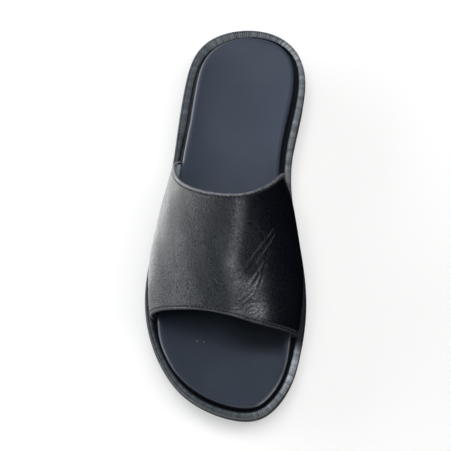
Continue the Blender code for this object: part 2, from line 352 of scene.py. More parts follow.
def add_noise(tree, place, grains, detail=2.0, rough=0.5):
    """Noise with so many grains to a metre."""
    node = add_node(tree, "ShaderNodeTexNoise", Vector=place, Scale=grains, Detail=detail, Roughness=rough)
    return node.outputs["Fac"]


def add_range(tree, value, low, high, least=0.0, most=1.0):
    node = add_node(tree, "ShaderNodeMapRange", Value=value, From_Min=low, From_Max=high)
    feed(tree, node.inputs["To Min"], least)
    feed(tree, node.inputs["To Max"], most)
    return node.outputs["Result"]


def add_cloud(tree, place, grains, least=0.0, most=1.0, detail=2.0, rough=0.5, low=0.3, high=0.7):
    """Noise that is stretched to lie between a least and a most value."""
    return add_range(tree, add_noise(tree, place, grains, detail, rough), low, high, least, most)


def add_mix(tree, share, first, second):
    node = add_node(tree, "ShaderNodeMix", {"data_type": "RGBA"})
    tree.links.new(share, node.inputs["Factor"])
    for number, colour in zip(MIX_COLOURS, (first, second)):
        feed(tree, node.inputs[number], colour)
    return node.outputs[MIXED_COLOUR]


def add_bump(tree, height, depth_mm, strength, under=None):
    node = add_node(tree, "ShaderNodeBump", Height=height, Distance=depth_mm * MM, Strength=strength)
    if under is not None:
        tree.links.new(under, node.inputs["Normal"])
    return node.outputs["Normal"]


def add_math(tree, operation, first, second):
    node = add_node(tree, "ShaderNodeMath", {"operation": operation})
    for socket, value in zip(node.inputs, (first, second)):
        feed(tree, socket, value)
    return node.outputs["Value"]


def add_cells(tree, place, cells, feature="DISTANCE_TO_EDGE"):
    """Cells, so many to a metre, as a distance from the furrows between them or from their middles."""
    node = add_node(tree, "ShaderNodeTexVoronoi", {"feature": feature}, Vector=place, Scale=cells)
    return node.outputs["Distance"]


def connect(tree, shader, colour, roughness, normal):
    for name, value in (("Base Color", colour), ("Roughness", roughness), ("Normal", normal)):
        tree.links.new(value, shader.inputs[name])


def read_value(tree, name):
    return add_node(tree, "ShaderNodeAttribute", {"attribute_name": name}).outputs["Fac"]


print("materials before the slipper's own:", len(bpy.data.materials))

# %% [markdown]
# The sole and its welt are black rubber with a blue cast, which in use turns grey where dust sits on the
# ribs. A clean black would look like plastic. How much grey lies at a point is known when the mesh is made:
# more on the big-toe side and at the heel, uneven from rib to rib. The grey is partly dust and partly painted
# light, which makes the big-toe side of the rim paler, and a few bright glints at the inner heel are painted
# highlights. Each point keeps a number for it, and the material reads that number.

# %% Rubber
CLEAN_SOLE = (0.0045, 0.0065, 0.0095)
DUST_AND_LIGHT_SOLE = (0.270, 0.275, 0.280)
CLEAN_WELT = (0.006, 0.010, 0.016)
DUST_AND_LIGHT_WELT = (0.530, 0.580, 0.625)
# Share of grey on the rim: dust, and painted light that makes the big-toe side paler
# A turn of 0 is the heel and 1 is the toe, along either side
MEDIAL_DUST_AND_LIGHT = table(
    "turn share",
    (0.00, 0.20),
    (0.05, 0.24),
    (0.10, 0.38),
    (0.15, 0.72),
    (0.20, 0.56),
    (0.28, 0.66),
    (0.34, 0.52),
    (0.44, 0.42),
    (0.48, 0.01),
    (0.705, 0.01),
    (0.74, 1.00),
    (0.80, 0.95),
    (0.85, 0.42),
    (0.90, 0.50),
    (0.95, 0.30),
    (1.00, 0.16),
)
LATERAL_DUST_AND_LIGHT = table(
    "turn share",
    (0.00, 0.20),
    (0.10, 0.20),
    (0.30, 0.14),
    (0.42, 0.09),
    (0.46, 0.03),
    (0.60, 0.03),
    (0.70, 0.07),
    (0.85, 0.11),
    (1.00, 0.16),
)
DUST_WAVES = table(
    "cycles share shift",
    (97.0, 0.18, 0.0),
    (61.0, 0.14, 1.0),
    (173.0, 0.10, 2.0),
)
# Painted glints: specks of highlight laid into the colour of the inner heel rim
PAINTED_GLINT_TURN = 0.115
PAINTED_GLINT_REACH = 0.025
PAINTED_GLINT_CYCLES = 140
PAINTED_GLINT_SHARE = 0.6


def rubber(name, clean, dusty_and_lit, roughness, gloss):
    material, tree, shader, place = start_material(name, Specular_IOR_Level=gloss)
    patches = add_cloud(tree, place, grains=90, detail=3.0, low=0.35, least=0.6, most=1.0)
    # The grey mixed in here is dust, painted light and painted glints
    share = add_math(tree, "MULTIPLY", read_value(tree, "dust"), patches)
    colour = add_mix(tree, share, clean, dusty_and_lit)
    uneven = add_cloud(tree, place, grains=400, least=roughness - 0.06, most=roughness + 0.08)
    pits = add_noise(tree, place, grains=1800, detail=3.0)
    connect(tree, shader, colour, uneven, add_bump(tree, pits, depth_mm=0.08, strength=0.5))
    return material


def rim_dust_and_light(angle):
    """Share of grey round the rim, from dust and painted light, read from the medial or the lateral table,
    uneven from rib to rib, with painted glints at the inner heel.
    """
    turn = angle / math.pi
    medial = np.interp(turn, MEDIAL_DUST_AND_LIGHT["turn"], MEDIAL_DUST_AND_LIGHT["share"])
    lateral = np.interp(2 - turn, LATERAL_DUST_AND_LIGHT["turn"], LATERAL_DUST_AND_LIGHT["share"])
    uneven = 1.0
    for cycles, share, shift in zip(*DUST_WAVES.values()):
        uneven = uneven + share * np.sin(angle * cycles + shift)
    painted_glints = np.maximum(0, np.sin(angle * PAINTED_GLINT_CYCLES)) * np.exp(-((turn - PAINTED_GLINT_TURN) / PAINTED_GLINT_REACH)**2)
    return np.where(angle < math.pi, medial, lateral) * uneven + PAINTED_GLINT_SHARE * painted_glints


sole_rubber = rubber("sole_rubber", CLEAN_SOLE, DUST_AND_LIGHT_SOLE, roughness=0.58, gloss=0.16)
welt_rubber = rubber("welt_rubber", CLEAN_WELT, DUST_AND_LIGHT_WELT, roughness=0.46, gloss=0.35)
print("rubber finishes:", sole_rubber.name, welt_rubber.name)

# %% [markdown]
# Fine ribs run across the whole rim, over the welt and down the lip of the sole. They must also meet where
# the run closes, so the pitch is adjusted until a whole number of them fits. An Array modifier along a
# curve would leave a gap at the join. Here the run round the rim is measured, and a wave with that many
# crests says how deep in a valley between two ribs each angle lies.

# %% Ribs of the rim
RIB_PITCH = 1.6
RIB_POWER = 1.3
WELT_WIDTH = 5.0
RIM_SAMPLES = 7201


def run_along(path):
    """Length of a path from its first point to each of its points."""
    return np.concatenate([[0.0], np.cumsum(np.linalg.norm(np.diff(path, axis=0), axis=-1))])


fine_turn = np.linspace(0, FULL_TURN, RIM_SAMPLES)
rim_run = run_along(np.stack(outline(fine_turn, WELT_WIDTH / 2), -1))
rib_count = round(rim_run[-1] / RIB_PITCH)


def rib_valley(angle):
    """How deep in a valley between two ribs an angle lies: 0 on a crest, 1 at the bottom."""
    run = np.interp(angle, fine_turn, rim_run)
    return (0.5 - 0.5 * np.cos(FULL_TURN * rib_count * run / rim_run[-1]))**RIB_POWER


print(f"ribs round the rim: {rib_count} on {rim_run[-1]:.0f} mm")

# %% [markdown]
# The outsole is one moulding. Its side goes up from the tread in steps, with a waist under the lip, and
# grooves cross the heel and the forefoot. It could be cut with booleans, but a ring of columns that all
# follow the same side, in rows of inset and rise, gives clean edges. Small arcs replace the sharp corners,
# as a mould has them, and the lip carries the ends of the welt's ribs.

# %% Outsole
# Rows of inset, part and rise: part 0 is measured up from the tread, and part 1 from the seat
SOLE_SIDE = np.array([
    (3.2, 0.0, 0.0),
    (1.4, 0.0, 2.2),
    (0.9, 1.0, -5.0),
    (1.9, 1.0, -4.4),
    (1.9, 1.0, -3.4),
    (0.2, 1.0, -2.8),
    (0.0, 1.0, -0.6),
    (0.6, 1.0, 0.0),
])
SOLE_CORNER = 0.4
SOLE_SHARP = 30
SOLE_STATIONS = 1200
GROOVE_PITCH = 11.0
GROOVE_ROWS = ((23.0, 2), (62.0, 2), (159.0, 7))
GROOVE_WIDTH = 2.4
GROOVE_FLANK = 0.7
GROOVE_DEPTH = 1.8
CHAMFER_RISE = 2.2
LIP_RIB = 0.28
LIP_FOOT = (-3.0, -2.4)
LIP_TOP = (-0.5, 0.0)
LIP_VALLEY_CLEAN = 0.7
# Painted light on the seat in the channel at the outer heel, where it lies in shade
SEAT_PAINTED_LIGHT = 0.20
LATERAL_HEEL = 1.5 * math.pi


def groove_depth(stations):
    depth = np.zeros(len(stations))
    for first, count in GROOVE_ROWS:
        for place in first + GROOVE_PITCH * np.arange(count):
            inside = (GROOVE_WIDTH / 2 + GROOVE_FLANK - np.abs(stations - place)) / GROOVE_FLANK
            depth = np.maximum(depth, GROOVE_DEPTH * np.clip(inside, 0, 1))
    return depth


def make_outsole():
    stations = even_stations(SOLE_STATIONS)
    angle = round_angles(stations)
    depth = groove_depth(stations)
    groove = np.concatenate([depth, depth[-2:0:-1]])
    valley = rib_valley(angle)
    dust = rim_dust_and_light(angle)
    rows = []
    dusty_and_lit = []
    for inset, part, rise in round_corners(SOLE_SIDE, SOLE_CORNER):
        on_lip = part * smooth_step(rise, *LIP_FOOT) * (1 - smooth_step(rise, *LIP_TOP))
        x, y = outline(angle, inset + LIP_RIB * on_lip * valley)
        from_heel = HALF_LENGTH - y
        z = (1 - part) * tread_line(from_heel) + part * seat_line(from_heel) + rise
        near_tread = (1 - part) * max(0.0, 1 - rise / CHAMFER_RISE)
        rows.append(np.stack([x, y, z + groove * near_tread], -1))
        dusty_and_lit.append(on_lip * dust * (1 - LIP_VALLEY_CLEAN * valley))
    # Painted light: the seat at the outer heel is made pale in the shade of the channel
    dusty_and_lit[-1] = np.where(angle > LATERAL_HEEL, SEAT_PAINTED_LIGHT, 0.0)
    columns = len(angle)
    faces = grid_faces(len(rows), columns, wrap=True)
    faces += strips_across(list(range(columns)))
    faces += strips_across(list(range((len(rows) - 1) * columns, len(rows) * columns)))
    piece = add_piece("outsole_moulding", np.array(rows), faces, sole_rubber, SOLE_SHARP)
    add_values(piece, "dust", dusty_and_lit)
    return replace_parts(piece, "outsole")


make_outsole()

# %% [markdown]
# The welt is a strip of rubber glued round the edge of the sole. Its top is slightly crowned, cut across by
# fine ribs, and a thin groove runs round it between an inner and an outer band. One cross-section, swept
# round the outline with eight columns to a rib, gives all of it. The last two columns of the section say
# how much of a rib and of the grey each point has, and that grey is dust and painted light. At the outer
# heel the inner wall is painted pale as well, a painted light in the shade of the channel. In wear the
# footbed has been pulled in at the heel, and the welt follows it.

# %% Welt
PULLED_IN = table(
    "from_heel lateral medial",
    (0.0, 1.5, 1.5),
    (3.0, 2.2, 1.0),
    (10.0, 2.7, 0.4),
    (20.0, 2.3, 0.0),
    (36.0, 1.4, 0.0),
    (60.0, 1.4, 0.0),
    (78.0, 1.4, 0.0),
    (100.0, 0.0, 0.0),
    (228.0, 0.0, 0.0),
    (237.0, -1.2, 0.0),
    (262.0, -1.2, 0.0),
    (278.0, 0.0, 0.0),
    (SOLE_LENGTH, 0.0, 0.0),
)
WELT_SECTION = table(
    "inset rise rib dust",
    (5.00, 0.30, 0.0, 0.00),
    (5.00, 3.20, 0.0, 0.00),
    (4.96, 3.65, 0.4, 0.10),
    (4.80, 3.95, 0.9, 0.30),
    (4.40, 4.22, 1.0, 0.80),
    (3.90, 4.45, 1.0, 1.00),
    (3.40, 4.58, 1.0, 1.00),
    (3.05, 4.55, 0.9, 1.00),
    (2.85, 4.30, 0.5, 0.90),
    (2.72, 4.00, 0.0, 0.75),
    (2.52, 3.98, 0.0, 0.75),
    (2.38, 4.26, 0.5, 0.70),
    (2.15, 4.42, 0.9, 0.62),
    (1.60, 4.30, 1.0, 0.60),
    (1.10, 4.05, 1.0, 0.60),
    (0.76, 3.66, 1.0, 0.60),
    (0.62, 3.10, 0.9, 0.54),
    (0.60, 2.00, 0.6, 0.36),
    (0.60, 0.30, 0.0, 0.00),
)
INNER_EDGE = 4.3
FOLLOWING = (3.4, 4.4)
RIB_DEPTH = 0.45
COLUMNS_TO_A_RIB = 8
WALL_TOP = (3.0, 3.8)
OUTER_WALL = 1.0
WELT_VALLEY_CLEAN = 0.40
WELT_SHARP = 50


def pulled_in(angle):
    """How far the footbed lies further in than it was made, or further out where it is less than 0."""
    place = HALF_LENGTH * (1 - np.cos(angle))
    medial = np.interp(place, PULLED_IN["from_heel"], PULLED_IN["medial"])
    lateral = np.interp(place, PULLED_IN["from_heel"], PULLED_IN["lateral"])
    return np.where(angle < math.pi, medial, lateral)


def make_welt():
    columns = rib_count * COLUMNS_TO_A_RIB
    angle = np.interp(np.arange(columns) * rim_run[-1] / columns, rim_run, fine_turn)
    valley = rib_valley(angle)
    dust = rim_dust_and_light(angle)
    follow = np.maximum(pulled_in(angle), 0.0)
    # Painted light on the inner wall at the outer heel, in the shade of the channel
    painted_light_at_heel = np.where(angle > LATERAL_HEEL, np.minimum(follow, 1.0), 0.0)
    rows = []
    dusty_and_lit = []
    for place, rise, rib, share in zip(*WELT_SECTION.values()):
        inset = place + follow * smooth_step(place, *FOLLOWING)
        on_wall = 1 - smooth_step(rise, *WALL_TOP)
        x, y = outline(angle, inset + RIB_DEPTH * rib * on_wall * valley * (place < OUTER_WALL))
        z = seat_line(HALF_LENGTH - y) + rise - RIB_DEPTH * rib * (1 - on_wall) * valley
        rows.append(np.stack([x, y, z], -1))
        worn_and_lit = np.maximum(share, painted_light_at_heel) if place > INNER_EDGE else share
        dusty_and_lit.append(dust * worn_and_lit * (1 - WELT_VALLEY_CLEAN * valley))
    points = np.array(rows)
    count = len(points)
    faces = grid_faces(count, columns, wrap=True)
    last = (count - 1) * columns
    faces += [(last + k, last + (k + 1) % columns, (k + 1) % columns, k) for k in range(columns)]
    piece = add_piece("welt_strip", points, faces, welt_rubber, WELT_SHARP)
    add_values(piece, "dust", dusty_and_lit)
    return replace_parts(piece, "welt")


make_welt()

# %% [markdown]
# The footbed is a foam cushion covered with thin, smooth leather. Its tone is lighter towards the heel and
# the big-toe side, which is fading and a painted sheen. Its sides down in the channel are painted dark, as
# painted shade, with a painted shadow under the band, and a pale line along its edge is a painted highlight.
# Pictures could be painted for that, but they tie the part to one size. Here the lighter tone follows the
# slipper's own coordinates, two numbers kept at each point say where painted shade and painted highlight
# lie, and two small pale specks are placed one by one.

# %% Footbed leather
FRESH_FOOTBED = (0.0122, 0.0178, 0.0285)
# Lighter tone: fading, and a painted sheen
FADED_AND_LIT_FOOTBED = (0.0330, 0.0425, 0.0620)
# Painted shade on the sides of the cushion in the channel and under the band
PAINTED_SHADE_FOOTBED = (0.0030, 0.0040, 0.0060)
# Painted highlight along the rolled edge of the cover
EDGE_HIGHLIGHT_TONE = (0.250, 0.262, 0.280)
SPECK_TONE = (0.16, 0.165, 0.17)
SEEN_FROM_ABOVE = (1.0, 1.0, 0.0)
SPECKS = table(
    "x y size",
    (-15.5, -92.5, 0.65),
    (-11.1, -92.6, 0.50),
)


def add_speck(tree, place, tone, x, y, size):
    """Lay a pale speck on a tone."""
    offset = add_node(tree, "ShaderNodeVectorMath", {"operation": "MULTIPLY_ADD"})
    for socket, value in zip(offset.inputs, (place, SEEN_FROM_ABOVE, (-x * MM, -y * MM, 0.0))):
        feed(tree, socket, value)
    reach = add_node(tree, "ShaderNodeVectorMath", {"operation": "LENGTH"})
    feed(tree, reach.inputs[0], offset.outputs["Vector"])
    share = add_range(tree, reach.outputs["Value"], low=size * MM / 2, high=size * MM, least=1.0, most=0.0)
    return add_mix(tree, share, tone, SPECK_TONE)


def footbed_leather():
    material, tree, shader, place = start_material("footbed_leather", Specular_IOR_Level=0.3)
    sides = add_node(tree, "ShaderNodeSeparateXYZ", Vector=place)
    # Lighter towards the heel and the big-toe side: fading, and a painted sheen
    toward_heel = add_range(tree, sides.outputs["Y"], low=-90 * MM, high=90 * MM, least=-0.1, most=0.8)
    toward_medial = add_range(tree, sides.outputs["X"], low=-30 * MM, high=35 * MM, most=0.24)
    uneven = add_cloud(tree, place, grains=28, detail=3.0, least=-0.1, most=0.2)
    faded_and_lit = add_math(tree, "ADD", toward_heel, add_math(tree, "ADD", toward_medial, uneven))
    tone = add_mix(tree, faded_and_lit, FRESH_FOOTBED, FADED_AND_LIT_FOOTBED)
    # Painted shade, read from the side number
    tone = add_mix(tree, read_value(tree, "side"), tone, PAINTED_SHADE_FOOTBED)
    # Painted highlight along the edge, read from the edge number
    tone = add_mix(tree, read_value(tree, "edge"), tone, EDGE_HIGHLIGHT_TONE)
    for x, y, size in zip(*SPECKS.values()):
        tone = add_speck(tree, place, tone, x, y, size)
    roughness = add_cloud(tree, place, grains=160, detail=4.0, least=0.40, most=0.52)
    grain = add_bump(tree, add_cells(tree, place, 1700.0, "F1"), depth_mm=0.05, strength=0.35)
    waves = add_noise(tree, place, grains=120, detail=3.0)
    connect(tree, shader, tone, roughness, add_bump(tree, waves, depth_mm=0.12, strength=0.35, under=grain))
    return material


cushion_cover = footbed_leather()
print("footbed finish:", len(cushion_cover.node_tree.nodes), "nodes")

# %% [markdown]
# The cover is pulled over the edge of the cushion, so the rim rolls over and catches the light in a narrow
# line, and the middle is dished by the foot. A cloth simulation would blow it up like a pillow, while this
# one is glued down and firm. So rows of inset and rise go round the edge, as on the sole, and lines across
# it, sunk by the dish, fill the top. Very slight waves show where the foam has settled.

# %% Form of the cushion
# Rows of inset, part and rise: part 0 is measured up from the seat, and part 1 from the rim
FOOTBED_SIDE = np.array([
    (1.2, 0.0, 0.3),
    (0.0, 0.0, 1.5),
    (0.0, 1.0, -3.0),
    (0.5, 1.0, -1.1),
    (1.6, 1.0, -0.2),
    (3.2, 1.0, 0.0),
])
FOOTBED_PLAN = table(
    "from_heel inset rim dish",
    (0.0, 8.0, 10.5, 0.0),
    (13.0, 8.0, 10.5, 0.0),
    (46.0, 8.0, 10.5, 4.0),
    (91.0, 8.0, 10.4, 3.2),
    (151.0, 8.0, 10.0, 2.0),
    (232.0, 8.0, 8.8, 1.6),
    (248.0, 7.1, 8.3, 1.0),
    (276.0, 7.0, 7.4, 0.0),
    (SOLE_LENGTH, 7.0, 7.0, 0.0),
)
FOOTBED_CORNER = 0.9
FOOTBED_STATIONS = 240
FOOTBED_COLUMNS = 60
DISH_POWER = 3.0
SETTLED = table(
    "height x_step y_step z_step shift",
    (0.10, 9.0, 21.0, np.inf, 0.0),
    (0.08, -17.0, 13.0, np.inf, 1.3),
)


def waves_over(points, heights):
    """Slow waves over points. A step is the distance over which a wave turns by one radian."""
    x, y, z = points.T
    total = np.zeros(len(points))
    for height, x_step, y_step, z_step, shift in zip(*heights.values()):
        total += height * np.sin(x / x_step + y / y_step + z / z_step + shift)
    return total


def footbed_rows(angle):
    """Rows round the edge of the cushion, from its underside to its rim."""
    inset_line = column_line(level_line, FOOTBED_PLAN, "inset")
    rim_line = column_line(level_line, FOOTBED_PLAN, "rim")
    own_inset = inset_line(HALF_LENGTH * (1 - np.cos(angle))) + pulled_in(angle)
    rows = []
    for inset, part, rise in round_corners(FOOTBED_SIDE, FOOTBED_CORNER):
        x, y = outline(angle, own_inset + inset)
        from_heel = HALF_LENGTH - y
        rows.append(np.stack([x, y, seat_line(from_heel) + part * rim_line(from_heel) + rise], -1))
    return np.array(rows)


def dished_lines(rim):
    """Lines over the top of the cushion from the medial to the lateral rim, without their ends."""
    dish_line = column_line(level_line, FOOTBED_PLAN, "dish")
    share = np.linspace(0, 1, FOOTBED_COLUMNS + 1)[1:-1, None]
    hollow = 1 - np.abs(2 * share[:, 0] - 1)**DISH_POWER
    lines = []
    for k in range(1, len(rim) // 2):
        line = rim[k] + (rim[-k] - rim[k]) * share
        line[:, 2] += hollow * (waves_over(line, SETTLED) - dish_line(HALF_LENGTH - line[:, 1]))
        lines.append(line)
    return np.array(lines)


footbed_angle = round_angles(even_stations(FOOTBED_STATIONS))
edge_rows = footbed_rows(footbed_angle)
top_lines = dished_lines(edge_rows[-1])
print(f"footbed: {np.ptp(edge_rows[..., 1]):.0f} mm long, {len(edge_rows)} rows round it")

# %% [markdown]
# Now the cushion is put together. Each point gets two numbers for the leather: how much painted shade it
# has, on the sides down in the channel and as a painted shadow under the band, and how much painted
# highlight, along the edge near the toes and at the outer heel. Painting vertex colours by hand would do
# the same, but it would have to be done again after every change of the grid.

# %% Footbed cushion
# Painted shade on the rows of the cushion's side, down in the channel
SHADED_ROWS = np.array([1, 1, 1, 1, 1, 1, 1, 0.7, 0.35, 0, 0, 0, 0, 0])
HEEL_SHADED_ROWS = 5
HIGHLIGHT_ROWS = np.array([0, 0, 0, 0, 0, 0, 0.4, 0.9, 1, 0.9, 0.5, 0.2, 0, 0])
# Painted highlight along the rolled edge, near the toes and at the outer heel
# A turn of 0 is the heel, 1 the toe and 2 the heel again, by way of the lateral side
EDGE_HIGHLIGHT_SHARE = table(
    "turn share",
    (0.00, 0.00),
    (0.67, 0.00),
    (0.70, 0.60),
    (0.78, 0.35),
    (0.84, 0.80),
    (0.91, 0.75),
    (0.95, 0.10),
    (1.00, 0.00),
    (1.18, 0.00),
    (1.24, 0.30),
    (1.34, 0.12),
    (1.52, 0.10),
    (1.62, 0.48),
    (1.78, 0.32),
    (1.90, 0.24),
    (2.00, 0.00),
)
# Painted shadow on the cushion under the front of the band, on the big-toe side
BAND_SHADOW = 0.75
BAND_BEGINS = (150.0, 170.0)
BAND_ENDS = (234.0, 247.0)
BAND_SHADE = (-5.0, 22.0)
FOOTBED_SHARP = 60


# Painted shade: the side of the cushion in the channel, and a painted shadow under the band
def painted_shade_share(angle, top):
    side = np.repeat(SHADED_ROWS[:, None], len(angle), axis=1)
    side[HEEL_SHADED_ROWS:, angle > LATERAL_HEEL] = 0.0
    from_heel = HALF_LENGTH - top[:, 1]
    under_band_shadow = smooth_step(from_heel, *BAND_BEGINS) * (1 - smooth_step(from_heel, *BAND_ENDS))
    return np.concatenate([side.ravel(), BAND_SHADOW * under_band_shadow * smooth_step(top[:, 0], *BAND_SHADE)])


# Painted highlight on the rows of the rolled edge
def painted_highlight_share(angle, top):
    edge_highlight = np.interp(angle / math.pi, EDGE_HIGHLIGHT_SHARE["turn"], EDGE_HIGHLIGHT_SHARE["share"])
    return np.concatenate([(HIGHLIGHT_ROWS[:, None] * edge_highlight).ravel(), np.zeros(len(top))])


def make_footbed():
    count, columns = edge_rows.shape[:2]
    half = columns // 2
    top = top_lines.reshape(-1, 3)
    below = count * columns
    first = below - columns
    step = FOOTBED_COLUMNS - 1
    lines = [[first + k, *range(below + (k - 1) * step, below + k * step), first + columns - k]
             for k in range(1, half)]
    faces = grid_faces(count, columns, wrap=True) + strips_across(list(range(columns)))
    for near, far in zip(lines, lines[1:]):
        faces += [(near[k], near[k + 1], far[k + 1], far[k]) for k in range(FOOTBED_COLUMNS)]
    for tip, line in ((first, lines[0]), (first + half, lines[-1])):
        faces += [(tip, line[k], line[k + 1]) for k in range(FOOTBED_COLUMNS)]
    points = np.concatenate([edge_rows.reshape(-1, 3), top])
    piece = add_piece("footbed_cushion", points, faces, cushion_cover, FOOTBED_SHARP)
    # The side number is painted shade, the edge number a painted highlight
    add_values(piece, "side", painted_shade_share(footbed_angle, top))
    add_values(piece, "edge", painted_highlight_share(footbed_angle, top))
    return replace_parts(piece, "footbed")


make_footbed()

# %% [markdown]
# The upper is one band of full-grain leather over the last. A section across it stands up from the channel
# beside the footbed, swells out a little, and then arches over the instep. Here that section is a function
# of two numbers: across, from the lateral foot (-1) over the crown (0) to the medial foot (1), and the
# distance from the heel. The throat and the front edge are then just two lines drawn on it.

# %% Form of the band
BAND_SECTIONS = table(
    "from_heel crown_side crown_height lateral_swell medial_swell swell_height lateral_full medial_full",
    (101.0, 3.8, 95.0, 0.8, 0.0, 31.0, 0.22, 0.34),
    (113.0, 4.3, 93.5, 2.2, 0.6, 32.0, 0.23, 0.36),
    (131.0, 5.0, 90.0, 2.9, 4.1, 34.0, 0.26, 0.42),
    (151.0, 5.8, 85.0, 2.5, 4.8, 36.0, 0.33, 0.47),
    (181.0, 7.3, 75.5, 1.5, 4.0, 36.0, 0.43, 0.53),
    (206.0, 8.8, 67.0, 0.7, 2.8, 34.0, 0.50, 0.57),
    (236.0, 10.3, 58.0, 0.8, 2.0, 31.0, 0.54, 0.58),
)
BAND_EDGES = table(
    "across throat front",
    (-1.0, 107.0, 223.5),
    (-0.72, 111.0, 224.6),
    (-0.58, 119.0, 224.4),
    (-0.44, 132.5, 224.2),
    (-0.29, 144.0, 224.6),
    (-0.14, 150.6, 225.4),
    (0.0, 152.0, 228.0),
    (0.13, 148.8, 230.4),
    (0.33, 137.0, 231.8),
    (0.56, 121.0, 231.5),
    (0.72, 115.0, 230.6),
    (1.0, 111.5, 229.0),
)
CROWN_FULL = 0.55
SHOULDER = 0.72
WELT_HEIGHT = 4.6
SEAT_GAP = 0.3
CHANNEL_GAP = 0.4
CHANNEL_LIP = 1.0
HALF_SAMPLES = 721
throat_line = column_line(natural_line, BAND_EDGES, "throat", "across")
front_line = column_line(natural_line, BAND_EDGES, "front", "across")
section = {name: column_line(natural_line, BAND_SECTIONS, name)
           for name in BAND_SECTIONS if name != "from_heel"}


def foot_line(angles):
    x, y = outline(angles, WELT_WIDTH + CHANNEL_GAP)
    return lambda from_heel: np.interp(from_heel, HALF_LENGTH - y, x)


half_turn = np.linspace(0, math.pi, HALF_SAMPLES)
lateral_foot = foot_line(FULL_TURN - half_turn)
medial_foot = foot_line(half_turn)


def band_point(across, from_heel):
    """Points of the band's outer face over the last."""
    across, from_heel = np.broadcast_arrays(np.asarray(across, float), np.asarray(from_heel, float))
    size = {name: line(from_heel) for name, line in section.items()}
    medial = across > 0
    share = np.abs(across)
    foot = np.where(medial, medial_foot(from_heel), lateral_foot(from_heel))
    swell = foot + np.where(medial, size["medial_swell"], -size["lateral_swell"])
    low = seat_line(from_heel) + SEAT_GAP
    lip = seat_line(from_heel) + WELT_HEIGHT + CHANNEL_LIP
    wall_z = low + (size["swell_height"] - low) * (1 - share) / (1 - SHOULDER)
    wall_x = foot + (swell - foot) * smooth_step(wall_z, lip, size["swell_height"])
    t = 1 - np.minimum(share, SHOULDER) / SHOULDER
    weights = ((1 - t)**3, 3 * t * (1 - t)**2, 3 * t * t * (1 - t), t**3)
    crown_x = size["crown_side"]
    crown_z = size["crown_height"]
    full = np.where(medial, size["medial_full"], size["lateral_full"])
    raised = size["swell_height"] + (crown_z - size["swell_height"]) * full
    sides = (swell, swell, crown_x + (swell - crown_x) * CROWN_FULL, crown_x)
    heights = (size["swell_height"], raised, crown_z, crown_z)
    arch_x = sum(weight * value for weight, value in zip(weights, sides))
    arch_z = sum(weight * value for weight, value in zip(weights, heights))
    on_wall = share > SHOULDER
    return np.stack([np.where(on_wall, wall_x, arch_x), HALF_LENGTH - from_heel,
                     np.where(on_wall, wall_z, arch_z)], -1)


crown = band_point(0.0, np.array([throat_line(0.0), front_line(0.0)]))
print(f"band: crown {crown[0, 2]:.0f} mm high at the throat and {crown[1, 2]:.0f} mm at the front")

# %% [markdown]
# Rows of points run over the band from throat to front. Near both edges they lie close together, because a
# turned hem, a stitch groove and their shadows are only a millimetre or two wide. Where an edge crosses the
# rows at a slant, distances along the row are stretched, so that the hem keeps one width all round.

# %% Rows over the band
ROW_BLOCKS = (
    (-1.0, -SHOULDER, 18),
    (-SHOULDER, -0.06, 74),
    (-0.06, 0.34, 112),
    (0.34, SHOULDER, 40),
    (SHOULDER, 1.0, 18),
)
MIDDLE_STEPS = 190
HEM_STEPS = np.array([1.1, 1.25, 1.4, 1.55, 1.7, 1.85, 2.0, 2.12, 2.24, 2.36,
                      2.48, 2.6, 2.75, 2.95, 3.2, 3.6, 4.1, 4.7])
ROW_SAMPLES = 240
SMALL_STEP = 1e-3


def across_rows(blocks):
    """Places of the rows over the band, from blocks of a start, an end and a count."""
    places = [np.linspace(start, end, count, endpoint=False) for start, end, count in blocks]
    return np.concatenate(places + [[1.0]])


def unit(vectors):
    return vectors / np.linalg.norm(vectors, axis=-1, keepdims=True)


def edge_slant(line, across):
    """Sine of the angle between the rows and an edge of the band."""
    beyond = np.clip(across + SMALL_STEP, -1, 1)
    before = np.clip(across - SMALL_STEP, -1, 1)
    edge = line(across)
    along_edge = unit(band_point(beyond, line(beyond)) - band_point(before, line(before)))
    along_row = unit(band_point(across, edge + SMALL_STEP) - band_point(across, edge - SMALL_STEP))
    return np.linalg.norm(np.cross(along_edge, along_row), axis=-1)


def band_rows(across, hem_steps, middle_steps):
    """Stations of each row, with the distance of each point from the throat and from the front."""
    throat_slant = edge_slant(throat_line, across)
    front_slant = edge_slant(front_line, across)
    stations = []
    from_throat = []
    from_front = []
    for k, place in enumerate(across):
        dense = np.linspace(throat_line(place), front_line(place), ROW_SAMPLES)
        run = run_along(band_point(place, dense))
        near = hem_steps / throat_slant[k]
        far = run[-1] - hem_steps[::-1] / front_slant[k]
        middle = np.linspace(near[-1], far[0], middle_steps + 2)[1:-1]
        steps = np.concatenate([near, middle, far])
        stations.append(np.interp(steps, run, dense))
        from_throat.append(steps * throat_slant[k])
        from_front.append((run[-1] - steps) * front_slant[k])
    return np.array(stations), np.array(from_throat), np.array(from_front), throat_slant, front_slant


def outward(points):
    """Outward directions of a grid of points whose rows run from throat to front."""
    normal = unit(np.cross(np.gradient(points, axis=1), np.gradient(points, axis=0)))
    return normal * np.sign(normal[len(points) // 2, :, 2].mean())


print("rows over the band:", len(across_rows(ROW_BLOCKS)))
